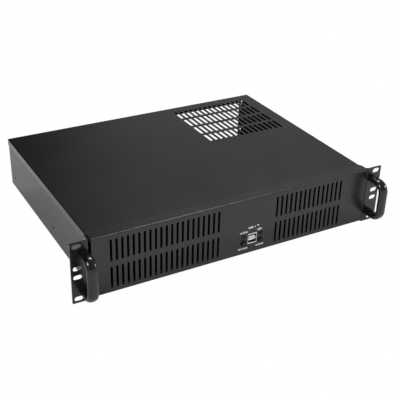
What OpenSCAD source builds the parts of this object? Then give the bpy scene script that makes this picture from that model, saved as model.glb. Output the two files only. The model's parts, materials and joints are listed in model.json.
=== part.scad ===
// Two-unit rackmount server case, empty: a folded steel tray, cover and front panel with
// rack ears, handles, a front control cluster and an open power-supply bay at the back.
// Millimetres. X runs to the right seen from the front, Y runs to the back, Z is up.
// The origin is on the ground, under the middle of the whole case.

/* [Rack ears] */
// Width of an ear, from the front panel's side to its free edge
ear_w = 25.6; // [24:0.1:28]
// Height of an ear plate
ear_h = 88.1; // [86:0.1:92]
// Thickness of the ear plates
ear_t = 1.6; // [1:0.1:3]
// How far the ear plates sit behind the front face
ear_set_back = 1.6; // [0:0.1:3]
// Outer radius of the ear's bend
ear_bend_r = 2.8; // [2.2:0.1:4]
// Height of the ears above the ground
ear_lift = 0.6; // [0.2:0.1:2]
// Distance of the rack slots from an ear's free edge
rack_slot_side = 8.75; // [8:0.05:9.5]
// Distance between the outer rack slots, up and down
rack_outer_span = 76.2; // [70:0.1:77]
// Distance between the inner rack slots, up and down
rack_inner_span = 12.7; // [10:0.1:16]
// Length of a rack slot
rack_slot_l = 12; // [8:0.1:13]
// Width of a rack slot
rack_slot_w = 7; // [6:0.1:8]
// Radius of the ear plate's free corners
ear_corner_r = 1.5; // [0.5:0.1:3]

/* [Body] */
// Width across the tray's side walls
body_w = 428.6; // [420:0.1:440]
// Depth from the front face to the back of the cover
body_d = 330; // [310:1:400]
// Height from the tray's underside to the cover's top
body_h = 76; // [75.5:0.5:78]
// Thickness of the tray and of the rear panel
sheet_t = 1; // [0.8:0.1:1.2]
// Inner radius of every bend in the tray, the cover and the panels
bend_r = 0.6; // [0.3:0.1:1]
// Width of the tray's inward flanges under the cover
tray_flange_w = 10; // [6:0.5:12]
// Height of a rail hole above the tray's underside
rail_hole_rise = 18.2; // [14:0.1:24]
// Distance of the front rail hole from the front face
rail_hole_front = 142; // [120:1:160]
// Distance of the rear rail hole from the back
rail_hole_back = 20; // [16:0.5:30]
// Diameter of a rail hole
rail_hole_d = 4; // [3:0.1:5]

/* [Cover] */
// Thickness of the cover
cover_t = 0.8; // [0.6:0.1:1.2]
// Height of the cover's side and rear lips
cover_lip_h = 9.5; // [8.5:0.1:12]
// Columns of slots in the cover's vent
top_vent_columns = 15; // [10:1:15]
// Rows of slots in the cover's vent
top_vent_rows = 4; // [2:1:4]
// Length of a slot in the cover's vent
top_slot_l = 27.5; // [20:0.5:29]
// Width of a slot in the cover's vent
top_slot_w = 5; // [3:0.1:6]
// Distance from one column of the cover's vent to the next
top_column_pitch = 9.1; // [8:0.1:9.2]
// Distance from one row of the cover's vent to the next
top_row_pitch = 33; // [31:0.5:36]
// Middle of the cover's vent, as a share of half the cover's width
top_vent_share = 0.5897; // [0.53:0.0001:0.6]
// Distance of the cover's vent from the back
top_vent_back = 18.8; // [14:0.1:30]

/* [Front panel] */
// Thickness of the front panel
panel_t = 1.2; // [1:0.1:1.6]
// Depth of the front panel's folded edges
panel_return_d = 17; // [14:0.5:24]
// How far the front panel hangs below the tray
panel_drop = 8.5; // [5:0.1:8.8]
// Columns of slots in the left front vent
left_vent_columns = 21; // [10:1:21]
// Columns of slots in the right front vent
right_vent_columns = 15; // [8:1:15]
// Distance from one column of a front vent to the next
vent_pitch = 7.75; // [6:0.05:7.8]
// Width of a slot in a front vent
vent_slot_w = 3.3; // [2:0.1:4]
// Length of a slot in a front vent
vent_slot_l = 32; // [28:0.1:34]
// Distance from the upper row of a front vent to the lower row
vent_row_pitch = 39.9; // [38:0.1:42]
// Middle of the left front vent, as a share of half the panel's width
left_vent_share = 0.5135; // [0.5:0.0001:0.54]
// Middle of the right front vent, as a share of half the panel's width
right_vent_share = 0.5274; // [0.51:0.0001:0.54]

/* [Controls] */
// Middle of the control cluster, to the right of the case's middle
cluster_x = 21; // [14:0.1:24]
// Height of the cluster's middle above the panel's bottom edge
cluster_rise = 23.5; // [20:0.1:30]
// Distance of the lamps and buttons from the cluster's middle
cluster_side = 13.6; // [13:0.1:16]
// Height of the lamps above the cluster's middle
lamp_rise = 5.2; // [5:0.1:7]
// Depth of the buttons below the cluster's middle
button_drop = 5.2; // [5:0.1:5.6]
// Width of the double socket
usb_w = 14.2; // [13.5:0.1:15]
// Height of the double socket
usb_h = 15.8; // [15:0.1:16.5]
// Depth of the double socket
usb_d = 17.5; // [14:0.5:20]
// Diameter of the power button
power_button_d = 5.6; // [4:0.1:6]
// Diameter of the reset button
reset_button_d = 3.6; // [3:0.1:5]
// Travel of the buttons
button_travel = 1.2; // [0.6:0.1:1.6]
// Diameter of a lamp's lens
lamp_d = 4; // [3:0.1:4.4]

/* [Handles] */
// Reach of a handle in front of the front face
handle_reach = 32; // [29:0.5:45]
// Height of a handle
handle_h = 64; // [60:0.5:66]
// Width of a handle's bar, from left to right
handle_w = 14.4; // [10:0.1:14.5]
// Thickness of a handle's bar
handle_bar_t = 9; // [8:0.1:12]
// Radius of the bar's rounded edges, as a share of its thickness
handle_edge_share = 0.49; // [0.2:0.01:0.49]
// Outer radius of a handle's elbows
handle_elbow_r = 17; // [14:0.1:20]
// Distance of a handle's middle from the front panel's side
handle_side = 9; // [8.9:0.1:10.3]

/* [Rear panel] */
// Width of the power-supply opening
psu_w = 144; // [130:0.5:144]
// Height of the power-supply opening
psu_h = 62.2; // [50:0.1:64]
// Distance of the power-supply opening from the right side wall
psu_margin = 14.3; // [14:0.1:20]
// Width of the connector opening
io_w = 158.75; // [150:0.05:160]
// Height of the connector opening
io_h = 44.45; // [40:0.05:46]
// Height of the connector opening's bottom edge above the floor
io_rise = 4; // [3.5:0.1:8]
// Expansion slots
slot_count = 4; // [2:1:4]
// Distance from one expansion slot to the next
slot_pitch = 20.32; // [19:0.01:20.4]
// Width of an expansion slot
slot_w = 12.5; // [11:0.1:14]
// Height of an expansion slot
slot_h = 54; // [48:0.5:56]
// Height of the shelf for the slot covers above the floor
slot_shelf_rise = 65.5; // [62:0.1:66]
// Distance of the last expansion slot's middle from the left side wall
slot_margin = 12.1; // [12:0.1:14]
// How far the board's wall is set in from the rear panel
wall_set_in = 12.5; // [11:0.1:14]

/* [Inner parts] */
// Height of a board post
post_h = 6.5; // [5:0.1:8]
// Diameter of a board post
post_d = 6; // [5:0.1:7]
// Distance over the board posts from side to side
post_span_x = 203.2; // [196:0.1:204]
// Distance of the front board posts from the tray's front
post_front = 75.97; // [70:0.01:80]
// Width between the legs of the drive bracket
drive_w = 102.4; // [102:0.1:103]
// Length of the drive bracket
drive_l = 148; // [140:1:150]
// Height of the drive bracket
drive_h = 62; // [58:0.5:66]
// Size of a fan place
fan_size = 70; // [50:1:70]
// Fan places in the fan bracket
fan_count = 2; // [1:1:2]

/* [Feet] */
// Height of a foot
foot_h = 11.4; // [10.9:0.1:13]
// Diameter of a foot at its top
foot_d = 20; // [16:0.5:24]
// Distance of a foot's middle from the side of the tray
foot_side = 34; // [26:0.5:50]
// Distance of a foot's middle from the front and the back
foot_end = 42; // [36:0.5:60]

/* [Hidden] */

$fn = 32;

// Clearances and the overrun of cuts
fit_gap = 0.1;
move_gap = 0.3;
cut = 1;

// Fasteners
m4_d = 4;
m4_hole_d = 4.4;
m4_head_d = 7;
m4_head_h = 2.2;
m4_nut_w = 7;
m4_nut_h = 3;
m3_d = 3;
m3_hole_d = 3.3;
m3_head_d = 5.8;
m3_head_h = 2;
m3_nut_w = 5.5;
m3_nut_h = 2.2;
cover_head_h = 2.2;
screw_gap = 0.05;
recess_w = 0.9;
recess_l_share = 0.6;
recess_d_share = 0.5;

// Heights
tray_z = foot_h;
floor_z = tray_z + sheet_t;
cover_top_z = tray_z + body_h;
cover_z = cover_top_z - cover_t;
wall_top_z = cover_z - fit_gap;
panel_bottom_z = tray_z - panel_drop;
panel_top_z = cover_top_z + fit_gap + panel_t;
panel_h = panel_top_z - panel_bottom_z;
ear_mid_z = ear_lift + ear_h / 2;

// Widths
wall_in_x = body_w / 2 - sheet_t;
cover_w = body_w + 2 * (fit_gap + cover_t);
panel_in_x = body_w / 2 + fit_gap;
panel_w = 2 * (panel_in_x + panel_t);
ear_in_x = panel_w / 2 + fit_gap;
rack_slot_x = ear_in_x + ear_w - rack_slot_side;
handle_x = ear_in_x + handle_side;
top_vent_x = top_vent_share * cover_w / 2;
left_vent_x = left_vent_share * panel_w / 2;
right_vent_x = right_vent_share * panel_w / 2;

// Depths, with the case's middle at zero
front_y = (handle_reach - body_d - cover_head_h) / 2;
back_y = front_y + body_d;
tray_back_y = back_y - cover_t - move_gap;
tray_front_y = front_y + panel_t + bend_r + fit_gap;
tray_d = tray_back_y - tray_front_y;
panel_back_y = front_y + panel_return_d;
ear_y = front_y + ear_set_back;

// Rear panel
rear_w = 2 * (wall_in_x - fit_gap);
rear_z = floor_z + fit_gap;
rear_h = wall_top_z - rear_z;
rear_return_d = 10;
psu_right_x = wall_in_x - psu_margin;
psu_left_x = psu_right_x - psu_w;
psu_fix_out = 5;
psu_fix_l = 8;
psu_fix_w = 2.4;
psu_fix_low = 10;
rear_vent_l = 10;
rear_vent_gap = 4;
rear_vent_side = 8;

// Expansion slots and the board's wall
slot_first_gap = 14.5;
slot_last_x = slot_margin - wall_in_x;
slot_first_x = slot_last_x + (slot_count - 1) * slot_pitch;
io_left_x = slot_first_x + slot_first_gap;
io_right_x = io_left_x + io_w;
io_z = floor_z + io_rise;
slot_rise = 7.5;
slot_z = floor_z + slot_rise;
slot_shelf_z = floor_z + slot_shelf_rise;
slot_cover_w = 18.4;
slot_cover_t = 0.8;
slot_cover_below = 2.4;
slot_tab_d = 9.5;
slot_screw_in = 5.5;
slot_screw_l = 3.5;
board_wall_side = 9.5;
board_wall_end = 6;
board_wall_left_x = slot_last_x - board_wall_side;
board_wall_right_x = io_right_x + board_wall_end;
board_wall_w = board_wall_right_x - board_wall_left_x;
board_wall_y = tray_back_y - wall_set_in;
slot_screw_y = board_wall_y + slot_screw_in;
window_rise = 3;

// Controls
cluster_z = panel_bottom_z + cluster_rise;
lamp_z = cluster_z + lamp_rise;
button_z = cluster_z - button_drop;
usb_gap = 0.4;
usb_wall = 0.5;
usb_proud = 0.4;
usb_port_h = 5.6;
usb_core_d = 7;
usb_tongue_t = 1.9;
usb_tongue_side = 1.4;
usb_tongue_set_in = 1.2;
usb_tongue_gap = 0.4;
usb_board_w = 16;
usb_board_d = 38;
usb_board_t = 1.6;
usb_board_gap = 2.3;
usb_board_y = front_y + panel_t + usb_board_gap;
usb_post_first = 23.5;
usb_post_pitch = 9.5;
usb_screw_l = 3.6;
switch_rim = 0.6;
switch_rim_proud = 0.8;
switch_wall = 1.1;
switch_cap_proud = 1.1;
switch_shoulder_out = 0.7;
switch_shoulder_l = 1.6;
switch_back_t = 5;
switch_nut_h = 2;
switch_lip_l = panel_t + switch_nut_h;
switch_cavity_y = switch_lip_l + switch_wall;
switch_cavity_l = switch_shoulder_l + button_travel + 2 * move_gap;
switch_l = switch_cavity_y + switch_cavity_l + switch_back_t;
switch_nut_out = 1.5;
terminal_w = 1.2;
terminal_t = 0.5;
terminal_l = 4;
terminal_side = 1.8;
lamp_l = 7;
lamp_proud = 0.9;
lamp_flange_out = 0.5;
lamp_flange_t = 1;
lamp_dome_share = 0.25;
holder_wall = 0.6;
holder_rim_out = 0.5;
holder_rim_t = 0.5;
holder_l = 6;

// Handles
handle_edge_r = handle_edge_share * min(handle_bar_t, handle_w);
handle_arm_z = handle_h / 2 - handle_bar_t / 2;
handle_bore_l = 12;
handle_screw_l = 10;

// Ear screws
ear_flange_end = 1.5;
ear_screw_y = ear_y + (panel_return_d - ear_set_back + ear_bend_r) / 2;
ear_screw_span = 27;
ear_flange_d = panel_return_d - ear_set_back;

// Board posts
post_bore_d = 2.5;
post_floor_t = 1;
post_side = 6.4;
post_back = 11.2;
post_column_share = 0.775;
post_row_share = 0.6816;
post_first_x = io_right_x - post_side;
post_first_y = board_wall_y - post_back;
post_span_y = post_first_y - tray_front_y - post_front;

// Drive bracket
drive_share = 0.5954;
drive_x = drive_share * wall_in_x;
drive_front = 24;
drive_t = 1;
drive_foot_w = 11;
drive_slot_l = 12;
drive_slot_w = 3.6;
drive_slot_low = 10;
drive_slot_pitch = 28;
drive_screw_end = 12;
drive_window_end_share = 0.14;
drive_window_gap = 12;
drive_window_y = front_y + drive_front + drive_l * drive_window_end_share;
drive_window_w = drive_w * (1 - 2 * drive_window_end_share);
drive_window_l = (drive_l * (1 - 2 * drive_window_end_share) - drive_window_gap) / 2;

// Fan bracket
fan_t = 1;
fan_front = 40;
fan_rim = 1.5;
fan_fix_side = 5;
fan_fix_d = 4.3;
fan_edge = 1.5;
fan_flange_d = 12;
fan_side_d = 6;
fan_x = -left_vent_x;
fan_w = fan_count * fan_size + 2 * fan_edge;
fan_h = fan_size + 2 * fan_edge;

// Feet
foot_taper = 2;
foot_edge_r = 1.5;
foot_bore_d = 9;
foot_floor_t = 4;

// Cover screws
cover_screw_span = 120;
cover_screw_rise = 4;
cover_screw_z = cover_top_z - cover_lip_h + cover_screw_rise;

// Colours, as the case shows them
black_steel = [0.13, 0.13, 0.13];
black_gloss = [0.08, 0.08, 0.08];
zinc = [0.62, 0.63, 0.64];
brass = [0.72, 0.58, 0.3];
white_plastic = [0.88, 0.88, 0.85];
black_plastic = [0.1, 0.1, 0.1];
green_board = [0.1, 0.3, 0.16];
lens_smoke = [0.25, 0.27, 0.2];
black_rubber = [0.09, 0.09, 0.09];

// Helpers

// A ring's quarter, drawn from +X to +Y
module quarter_ring(outer_r, t) {
    intersection() {
        difference() {
            circle(outer_r);
            circle(outer_r - t);
        }
        square(outer_r);
    }
}

// A sheet's section with one right-angle bend. The outer faces lie on the axes:
// one leg runs along +X and the other along +Y.
module bend_section(leg_x, leg_y, t, inner_r) {
    outer_r = inner_r + t;
    translate([outer_r, outer_r]) rotate(180) quarter_ring(outer_r, t);
    if (leg_x > outer_r) translate([outer_r, 0]) square([leg_x - outer_r, t]);
    if (leg_y > outer_r) translate([0, outer_r]) square([t, leg_y - outer_r]);
}

// The children and their mirror image to the left
module both_sides() {
    children();
    mirror([1, 0, 0]) children();
}

// A shallow pan of folded sheet: its outer face lies on Y = 0, its bottom edge on Z = 0,
// and its edges fold to +Y. Its corners are open, as sheet corners are.
module pan(w, h, t, side_d, top_d, bottom_d) {
    outer_r = bend_r + t;
    translate([-w / 2 + outer_r, 0, outer_r]) cube([w - 2 * outer_r, t, h - 2 * outer_r]);
    both_sides()
        translate([-w / 2, 0, outer_r])
            linear_extrude(h - 2 * outer_r) bend_section(outer_r, side_d, t, bend_r);
    translate([-w / 2 + outer_r, 0, 0])
        rotate([90, 0, 90])
            linear_extrude(w - 2 * outer_r) bend_section(bottom_d, outer_r, t, bend_r);
    translate([-w / 2 + outer_r, 0, h])
        mirror([0, 0, 1])
            rotate([90, 0, 90])
                linear_extrude(w - 2 * outer_r) bend_section(top_d, outer_r, t, bend_r);
}

// A rod with round ends seen along Z, lying along X
module oblong(l, w, h) {
    translate([-(l - w) / 2, -w / 2, 0]) cube([l - w, w, h]);
    for (side = [-1, 1]) translate([side * (l - w) / 2, 0, 0]) cylinder(h = h, d = w);
}

// A cutter through a sheet whose outer face lies on Y = 0: an upright slot
module upright_slot(l, w, t) {
    translate([0, t + cut, 0]) rotate([90, 90, 0]) oblong(l, w, t + 2 * cut);
}

// A round cutter along +Y, through a sheet whose outer face lies on Y = 0
module hole_y(d, t) {
    translate([0, -cut, 0]) rotate([-90, 0, 0]) cylinder(h = t + 2 * cut, d = d);
}

// A pan-head screw along Z: its head stands above Z = 0 and its shank runs below
module screw(d, l, head_d, head_h) {
    difference() {
        union() {
            cylinder(h = head_h, d1 = head_d, d2 = head_d - head_h / 2);
            translate([0, 0, -l]) cylinder(h = l + head_h / 2, d = d - 2 * screw_gap);
        }
        for (turn = [0, 90])
            rotate(turn)
                translate([-head_d * recess_l_share / 2, -recess_w / 2, head_h * (1 - recess_d_share)])
                    cube([head_d * recess_l_share, recess_w, head_h]);
    }
}

// A hexagon nut along Z, standing on Z = 0
module nut(w, h, bore_d) {
    difference() {
        cylinder(h = h, d = w / cos(30), $fn = 6);
        translate([0, 0, -cut]) cylinder(h = h + 2 * cut, d = bore_d);
    }
}

// Tray, rear panel and cover

// Half of the tray's section, to the right of its middle
module tray_half_section() {
    outer_r = bend_r + sheet_t;
    wall_h = wall_top_z - tray_z;
    square([body_w / 2 - outer_r, sheet_t]);
    translate([body_w / 2 - outer_r, outer_r]) rotate(-90) quarter_ring(outer_r, sheet_t);
    translate([body_w / 2 - sheet_t, outer_r]) square([sheet_t, wall_h - 2 * outer_r]);
    translate([body_w / 2 - outer_r, wall_h - outer_r]) quarter_ring(outer_r, sheet_t);
    translate([body_w / 2 - tray_flange_w, wall_h - sheet_t])
        square([tray_flange_w - outer_r, sheet_t]);
}

module ear_hole_places(x) {
    for (step = [-1, 0, 1]) translate([x, ear_screw_y, ear_mid_z + step * ear_screw_span]) children();
}

module base_tray() {
    color(black_steel)
    difference() {
        translate([0, tray_back_y, tray_z])
            rotate([90, 0, 0])
                linear_extrude(tray_d) {
                    tray_half_section();
                    mirror([1, 0]) tray_half_section();
                }
        // The flanges stop in front of the rear panel
        for (side = [-1, 1])
            translate([side * (body_w / 2 - sheet_t - tray_flange_w / 2 - bend_r), tray_back_y, wall_top_z])
                cube([tray_flange_w, 2 * (rear_return_d + cut), 2 * (sheet_t + bend_r)], center = true);
        // Rail holes and ear screw holes
        for (side = [-1, 1]) {
            for (y = [front_y + rail_hole_front, back_y - rail_hole_back])
                translate([side * (body_w / 2 + cut), y, tray_z + rail_hole_rise])
                    rotate([0, -side * 90, 0]) cylinder(h = sheet_t + 2 * cut, d = rail_hole_d);
            ear_hole_places(side * (body_w / 2 + cut))
                rotate([0, -side * 90, 0]) cylinder(h = sheet_t + 2 * cut, d = m4_hole_d);
        }
        // Screw holes in the floor
        floor_screw_places() translate([0, 0, -sheet_t - cut]) cylinder(h = sheet_t + 2 * cut, d = m3_hole_d);
        foot_places() translate([0, 0, -cut]) cylinder(h = sheet_t + 2 * cut, d = m3_hole_d);
    }
}

module floor_screw_places() {
    drive_screw_places() children();
    fan_screw_places() children();
}

module rear_panel() {
    color(black_steel)
    difference() {
        translate([0, tray_back_y, rear_z])
            mirror([0, 1, 0]) pan(rear_w, rear_h, sheet_t, rear_return_d, rear_return_d, rear_return_d);
        translate([0, tray_back_y, 0]) {
            // Power-supply opening, down to the floor
            translate([psu_left_x, -rear_return_d - cut, floor_z - cut])
                cube([psu_w, rear_return_d + 2 * cut, psu_h + cut]);
            // Slots beside it for an adapter plate
            for (x = [psu_left_x - psu_fix_out, psu_right_x + psu_fix_out])
                for (z = [floor_z + psu_fix_low, floor_z + psu_h])
                    translate([x, 0, z]) mirror([0, 1, 0]) upright_slot(psu_fix_l, psu_fix_w, sheet_t);
            // Window in front of the board's wall
            translate([board_wall_left_x + sheet_t, -sheet_t - cut, floor_z + window_rise])
                cube([
                    board_wall_w - 2 * sheet_t,
                    sheet_t + 2 * cut,
                    slot_shelf_z - sheet_t - floor_z - window_rise
                ]);
            // Cover screws
            for (step = [-1, 0, 1])
                translate([step * cover_screw_span, 0, cover_screw_z])
                    mirror([0, 1, 0]) hole_y(m3_hole_d, sheet_t);
        }
    }
}

module rear_vent_places() {
    columns = floor((io_w - 2 * rear_vent_side) / vent_pitch);
    for (i = [0:columns])
        translate([
            (io_left_x + io_right_x) / 2 + (i - columns / 2) * vent_pitch,
            0,
            io_z + io_h + rear_vent_gap + rear_vent_l / 2
        ])
            children();
}

// The wall at the board's back, set in from the rear panel: the connector opening, the
// expansion slots and a vent, with a shelf for the slot covers' tabs
module board_wall() {
    shelf_d = wall_set_in - sheet_t - fit_gap;
    cheek_low_z = floor_z + rear_return_d / 2;
    color(black_steel)
    difference() {
        translate([board_wall_left_x, board_wall_y, 0]) {
            // Wall and shelf, folded from one sheet
            translate([0, 0, slot_shelf_z])
                mirror([0, 0, 1])
                    rotate([90, 0, 90])
                        linear_extrude(board_wall_w)
                            bend_section(shelf_d, slot_shelf_z - floor_z - fit_gap, sheet_t, bend_r);
            // Side cheeks to the rear panel
            for (x = [0, board_wall_w - sheet_t])
                translate([x, sheet_t / 2, cheek_low_z])
                    cube([sheet_t, shelf_d - sheet_t / 2, slot_shelf_z - sheet_t / 2 - cheek_low_z]);
        }
        for (i = [0:slot_count - 1])
            translate([slot_first_x - i * slot_pitch, 0, 0]) {
                translate([-slot_w / 2, board_wall_y - cut, slot_z])
                    cube([slot_w, sheet_t + 2 * cut, slot_h]);
                translate([0, slot_screw_y, slot_shelf_z - sheet_t - cut])
                    cylinder(h = sheet_t + 2 * cut, d = m3_hole_d);
            }
        translate([0, board_wall_y, 0]) {
            translate([io_left_x, -cut, io_z]) cube([io_w, sheet_t + 2 * cut, io_h]);
            rear_vent_places() upright_slot(rear_vent_l, vent_slot_w, sheet_t);
        }
    }
}

// A blank cover, inside the board's wall, with its tab on the shelf
module slot_cover(i) {
    tab_top_z = slot_shelf_z + slot_cover_t + fit_gap;
    low_z = slot_z - slot_cover_below;
    color(zinc)
    translate([slot_first_x - i * slot_pitch, 0, 0])
    difference() {
        translate([-slot_cover_w / 2, board_wall_y - slot_cover_t - fit_gap, tab_top_z])
            mirror([0, 0, 1])
                rotate([90, 0, 90])
                    linear_extrude(slot_cover_w)
                        bend_section(slot_tab_d + slot_cover_t, tab_top_z - low_z, slot_cover_t, bend_r);
        translate([0, slot_screw_y, slot_shelf_z]) cylinder(h = slot_cover_t + 2 * cut, d = m3_hole_d);
    }
}

module slot_screws() {
    color(zinc)
    for (i = [0:slot_count - 1])
        translate([slot_first_x - i * slot_pitch, slot_screw_y, slot_shelf_z + slot_cover_t + fit_gap])
            screw(m3_d, slot_screw_l, m3_head_d, m3_head_h);
}

module top_cover() {
    outer_r = bend_r + cover_t;
    lip_front_y = panel_back_y + move_gap;
    color(black_steel)
    difference() {
        union() {
            // Top with its side lips
            both_sides()
                translate([-cover_w / 2, back_y - outer_r, cover_top_z])
                    rotate([90, 0, 0])
                        mirror([0, 1, 0])
                            linear_extrude(back_y - outer_r - lip_front_y)
                                bend_section(cover_w / 2, cover_lip_h, cover_t, bend_r);
            // Tongue under the front panel's folded edge
            translate([-body_w / 2, tray_front_y, cover_z])
                cube([body_w, lip_front_y - tray_front_y, cover_t]);
            // Rear lip
            translate([-cover_w / 2 + outer_r, back_y, cover_top_z])
                mirror([0, 1, 0])
                    mirror([0, 0, 1])
                        rotate([90, 0, 90])
                            linear_extrude(cover_w - 2 * outer_r)
                                bend_section(outer_r, cover_lip_h, cover_t, bend_r);
        }
        top_vent_places()
            translate([0, 0, cover_z - cut]) rotate(90) oblong(top_slot_l, top_slot_w, cover_t + 2 * cut);
        for (step = [-1, 0, 1])
            translate([step * cover_screw_span, back_y, cover_screw_z])
                mirror([0, 1, 0]) hole_y(m3_hole_d, cover_t);
    }
}

module top_vent_places() {
    for (column = [0:top_vent_columns - 1])
        for (row = [0:top_vent_rows - 1])
            translate([
                top_vent_x + (column - (top_vent_columns - 1) / 2) * top_column_pitch,
                back_y - top_vent_back - top_slot_l / 2 - row * top_row_pitch,
                0
            ])
                children();
}

module cover_screws() {
    color(black_steel)
    for (step = [-1, 0, 1])
        translate([step * cover_screw_span, back_y, cover_screw_z])
            rotate([-90, 0, 0]) screw(m3_d, cover_t + move_gap + sheet_t + m3_nut_h, m3_head_d, cover_head_h);
}

module cover_nuts() {
    color(zinc)
    for (step = [-1, 0, 1])
        translate([step * cover_screw_span, tray_back_y - sheet_t, cover_screw_z])
            rotate([90, 0, 0]) nut(m3_nut_w, m3_nut_h, m3_d);
}

// Front panel, ears and handles

module front_panel() {
    color(black_steel)
    difference() {
        translate([0, front_y, panel_bottom_z])
            pan(panel_w, panel_h, panel_t, panel_return_d, panel_return_d, panel_return_d);
        translate([0, front_y, 0]) {
            vent_places(-left_vent_x, left_vent_columns) upright_slot(vent_slot_l, vent_slot_w, panel_t);
            vent_places(right_vent_x, right_vent_columns) upright_slot(vent_slot_l, vent_slot_w, panel_t);
            // Controls
            translate([cluster_x - usb_w / 2 - usb_gap, -cut, cluster_z - usb_h / 2 - usb_gap])
                cube([usb_w + 2 * usb_gap, panel_t + 2 * cut, usb_h + 2 * usb_gap]);
            translate([cluster_x - cluster_side, 0, button_z])
                hole_y(switch_barrel_d(power_button_d) + 2 * fit_gap, panel_t);
            translate([cluster_x + cluster_side, 0, button_z])
                hole_y(switch_barrel_d(reset_button_d) + 2 * fit_gap, panel_t);
            for (side = [-1, 1])
                translate([cluster_x + side * cluster_side, 0, lamp_z])
                    hole_y(holder_d() + 2 * fit_gap, panel_t);
        }
        for (side = [-1, 1])
            ear_hole_places(side * (panel_w / 2 + cut))
                rotate([0, -side * 90, 0]) cylinder(h = panel_t + 2 * cut, d = m4_hole_d);
    }
}

module vent_places(x, columns) {
    for (column = [0:columns - 1])
        for (row = [-1, 1])
            translate([
                x + (column - (columns - 1) / 2) * vent_pitch,
                0,
                (panel_bottom_z + panel_top_z) / 2 + row * vent_row_pitch / 2
            ])
                children();
}

// An ear: a plate with rack slots, bent back along the front panel's side
module ear(side) {
    color(black_steel)
    mirror([side < 0 ? 1 : 0, 0, 0])
    difference() {
        translate([ear_in_x, ear_y, ear_lift]) {
            linear_extrude(ear_h) bend_section(ear_bend_r, ear_bend_r, ear_t, ear_bend_r - ear_t);
            translate([0, ear_bend_r, ear_flange_end])
                cube([ear_t, ear_flange_d - ear_bend_r, ear_h - 2 * ear_flange_end]);
            translate([ear_bend_r, ear_t, 0])
                rotate([90, 0, 0]) linear_extrude(ear_t) ear_plate_outline();
        }
        for (span = [-rack_outer_span, -rack_inner_span, rack_inner_span, rack_outer_span])
            translate([rack_slot_x, ear_y + ear_t + cut, ear_mid_z + span / 2])
                rotate([90, 0, 0]) oblong(rack_slot_l, rack_slot_w, ear_t + 2 * cut);
        for (up = [-1, 1])
            translate([handle_x, ear_y, ear_mid_z + up * handle_arm_z]) hole_y(m4_hole_d, ear_t);
        ear_hole_places(ear_in_x - cut) rotate([0, 90, 0]) cylinder(h = ear_t + 2 * cut, d = m4_hole_d);
    }
}

// The flat part of an ear, with round free corners
module ear_plate_outline() {
    w = ear_w - ear_bend_r;
    square([w - ear_corner_r, ear_h]);
    translate([w - ear_corner_r, ear_corner_r]) square([ear_corner_r, ear_h - 2 * ear_corner_r]);
    for (z = [ear_corner_r, ear_h - ear_corner_r]) translate([w - ear_corner_r, z]) circle(ear_corner_r);
}

module ear_left() { ear(-1); }

module ear_right() { ear(1); }

module ear_screws() {
    color(black_steel)
    for (side = [-1, 1])
        ear_hole_places(side * (ear_in_x + ear_t))
            rotate([0, side * 90, 0])
                screw(m4_d, ear_t + panel_t + sheet_t + m4_nut_h + 2 * fit_gap, m4_head_d, m4_head_h);
}

module ear_nuts() {
    color(zinc)
    for (side = [-1, 1])
        ear_hole_places(side * wall_in_x) rotate([0, -side * 90, 0]) nut(m4_nut_w, m4_nut_h, m4_d);
}

// The section of a handle's bar: its width lies along Y and its thickness along X
module bar_section() {
    square([handle_bar_t - 2 * handle_edge_r, handle_w], center = true);
    square([handle_bar_t, handle_w - 2 * handle_edge_r], center = true);
    for (x = [-1, 1])
        for (y = [-1, 1])
            translate([x * (handle_bar_t / 2 - handle_edge_r), y * (handle_w / 2 - handle_edge_r)])
                circle(handle_edge_r);
}

// A handle: a bar with two elbows and two arms, bored for screws from behind the ear
module handle(side) {
    arm_l = handle_reach + ear_set_back - handle_elbow_r;
    bar_l = handle_h - 2 * handle_elbow_r;
    elbow_mid_r = handle_elbow_r - handle_bar_t / 2;
    color(black_gloss)
    translate([side * handle_x, ear_y, ear_mid_z])
    difference() {
        union() {
            translate([0, -arm_l - elbow_mid_r, -bar_l / 2])
                linear_extrude(bar_l) rotate(90) bar_section();
            for (up = [-1, 1])
                mirror([0, 0, up < 0 ? 1 : 0]) {
                    translate([0, -arm_l, bar_l / 2])
                        rotate([0, -90, 0])
                            rotate_extrude_elbow(elbow_mid_r);
                    translate([0, -arm_l, handle_arm_z])
                        rotate([-90, 0, 0]) linear_extrude(arm_l) rotate(90) bar_section();
                }
        }
        for (up = [-1, 1])
            translate([0, -handle_bore_l, up * handle_arm_z])
                rotate([-90, 0, 0]) cylinder(h = handle_bore_l + cut, d = m4_d);
    }
}

// A quarter turn of the bar's section about Z, from -Y to +X
module rotate_extrude_elbow(r) {
    rotate(-90) rotate_extrude(angle = 90, $fn = 64) translate([r, 0]) bar_section();
}

module handle_left() { handle(-1); }

module handle_right() { handle(1); }

module handle_screws() {
    color(zinc)
    for (side = [-1, 1])
        for (up = [-1, 1])
            translate([side * handle_x, ear_y + ear_t, ear_mid_z + up * handle_arm_z])
                rotate([-90, 0, 0]) screw(m4_d, handle_screw_l, m4_head_d, m4_head_h);
}

// Controls

function switch_bore_d(button_d) = button_d + 2 * move_gap;
function switch_barrel_d(button_d) = switch_bore_d(button_d) + 2 * switch_wall;
function switch_cavity_d(button_d) = button_d + 2 * (switch_shoulder_out + move_gap);
function switch_body_d(button_d) = switch_cavity_d(button_d) + 2 * switch_wall;
function holder_d() = lamp_d + 2 * (fit_gap + holder_wall);

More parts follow.
